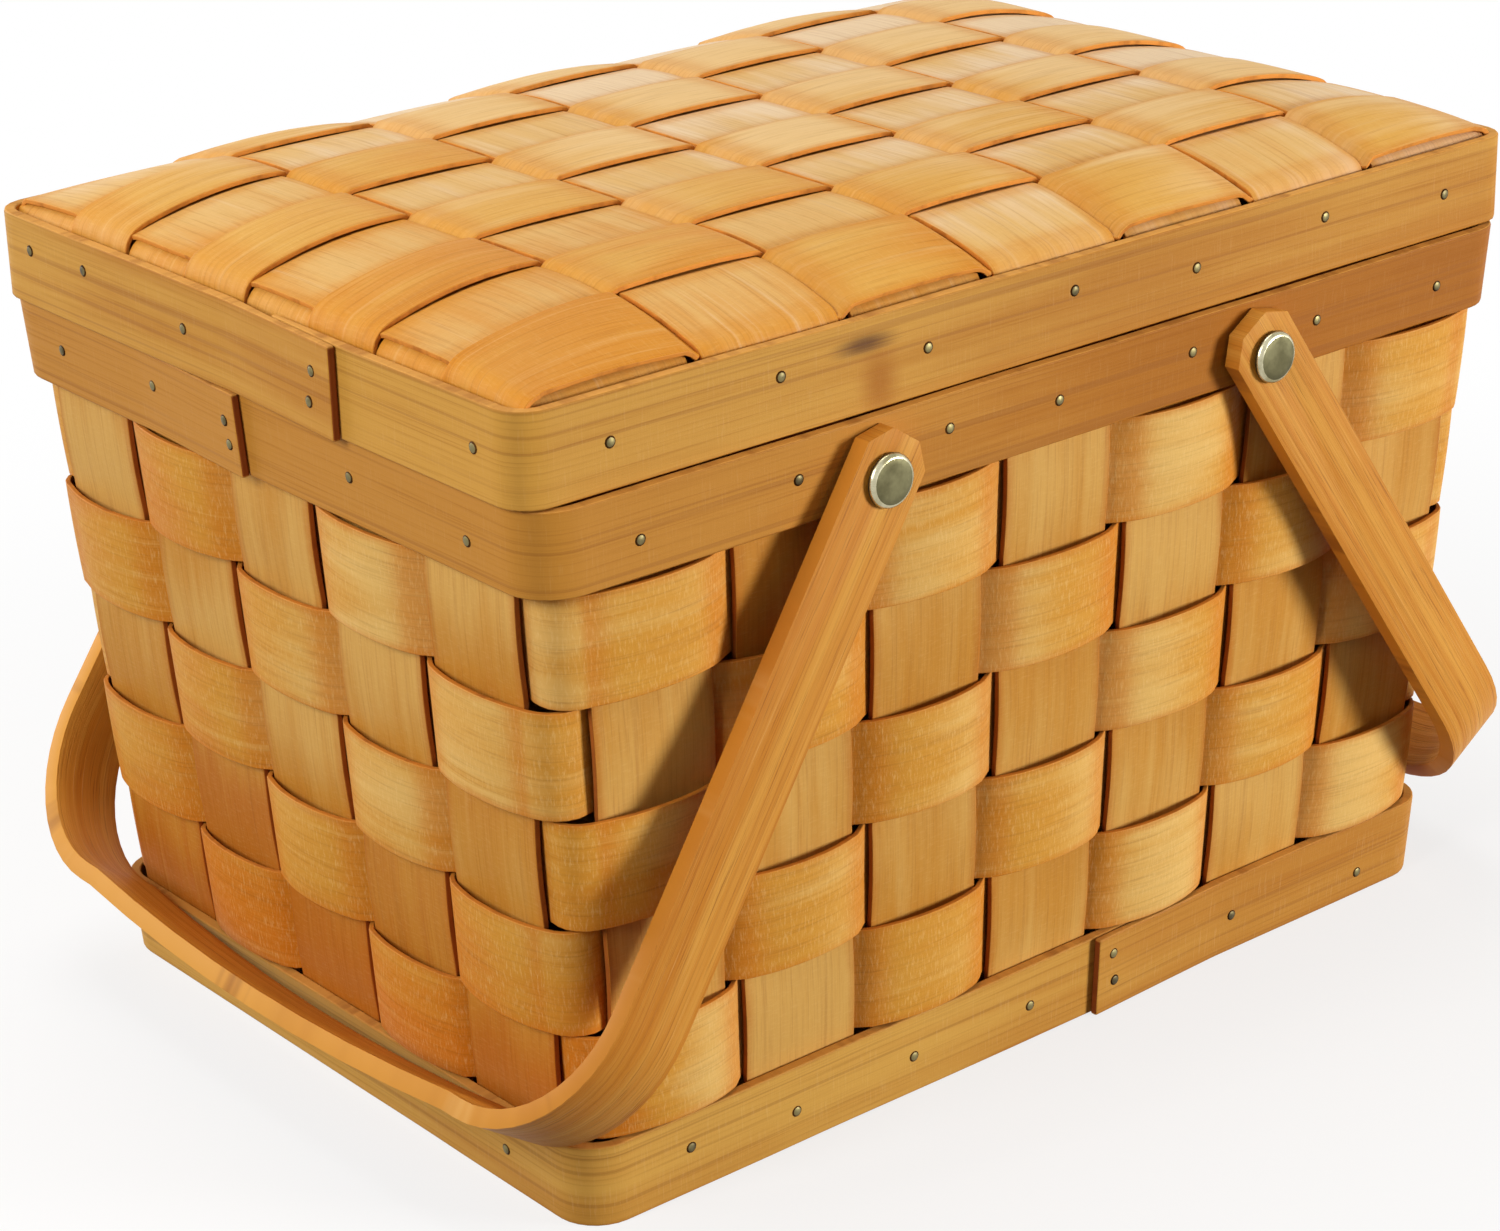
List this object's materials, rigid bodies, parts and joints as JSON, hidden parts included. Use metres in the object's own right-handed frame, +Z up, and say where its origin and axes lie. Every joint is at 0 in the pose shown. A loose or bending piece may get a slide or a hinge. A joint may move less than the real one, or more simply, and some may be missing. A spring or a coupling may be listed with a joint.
{
  "type": "picnic basket",
  "caption": "Woven wood-splint picnic basket with flared walls, nailed bands at rim and foot, a lift-off woven lid, and bentwood handles that swing on rivets.",
  "frame": {"origin": "on the ground under the middle of the base", "axes": "+X along the basket to its right end, -Y towards its front, +Z up"},
  "size_m": [0.3102, 0.2222, 0.1991],
  "materials": {
    "stake_wood": "pale honey-stained splint, satin",
    "weaver_wood": "honey-orange stained splint, satin",
    "band_wood": "sawn band, honey stain, satin",
    "handle_wood": "bentwood, orange-tan stain, satin",
    "rivet_brass": "dull plated cap with a bright bevel"
  },
  "bodies": {
    "basket": {"cross_stake_1": "stake_wood", "cross_stake_2": "stake_wood", "cross_stake_3": "stake_wood", "cross_stake_4": "stake_wood", "cross_stake_5": "stake_wood", "cross_stake_6": "stake_wood", "cross_stake_7": "stake_wood", "long_stake_1": "stake_wood", "long_stake_2": "stake_wood", "long_stake_3": "stake_wood", "long_stake_4": "stake_wood", "long_stake_5": "stake_wood", "weaver_1": "weaver_wood", "weaver_2": "weaver_wood", "weaver_3": "weaver_wood", "weaver_4": "weaver_wood", "weaver_5": "weaver_wood", "rim_outer_band": "band_wood", "rim_inner_band": "band_wood", "base_band": "band_wood", "rivet_left_front": "rivet_brass", "rivet_left_back": "rivet_brass", "rivet_right_front": "rivet_brass", "rivet_right_back": "rivet_brass", "rivet_cap_left_front": "rivet_brass", "rivet_cap_left_back": "rivet_brass", "rivet_cap_right_front": "rivet_brass", "rivet_cap_right_back": "rivet_brass"},
    "lid": {"lid_band": "band_wood", "lid_liner_front": "band_wood", "lid_liner_back": "band_wood", "lid_liner_left": "band_wood", "lid_liner_right": "band_wood", "lid_cross_strip_1": "stake_wood", "lid_cross_strip_2": "stake_wood", "lid_cross_strip_3": "stake_wood", "lid_cross_strip_4": "stake_wood", "lid_cross_strip_5": "stake_wood", "lid_cross_strip_6": "stake_wood", "lid_cross_strip_7": "stake_wood", "lid_long_strip_1": "weaver_wood", "lid_long_strip_2": "weaver_wood", "lid_long_strip_3": "weaver_wood", "lid_long_strip_4": "weaver_wood", "lid_long_strip_5": "weaver_wood", "lid_long_strip_6": "weaver_wood", "lid_long_strip_7": "weaver_wood", "lid_long_strip_8": "weaver_wood"},
    "left_handle": {"left_handle": "handle_wood"},
    "right_handle": {"right_handle": "handle_wood"}
  },
  "joints": [
    {"name": "left_handle_swing", "type": "hinge", "parent": "basket", "child": "left_handle", "pos_m": [-0.05719, 0, 0.1557], "axis": [0, 1, 0], "range_deg": [0, 160]},
    {"name": "right_handle_swing", "type": "hinge", "parent": "basket", "child": "right_handle", "pos_m": [0.05719, 0, 0.1557], "axis": [0, -1, 0], "range_deg": [0, 160]},
    {"name": "lid_lift", "type": "slide", "parent": "basket", "child": "lid", "axis": [0, 0, 1], "range_m": [0, 0.17]}
  ]
}
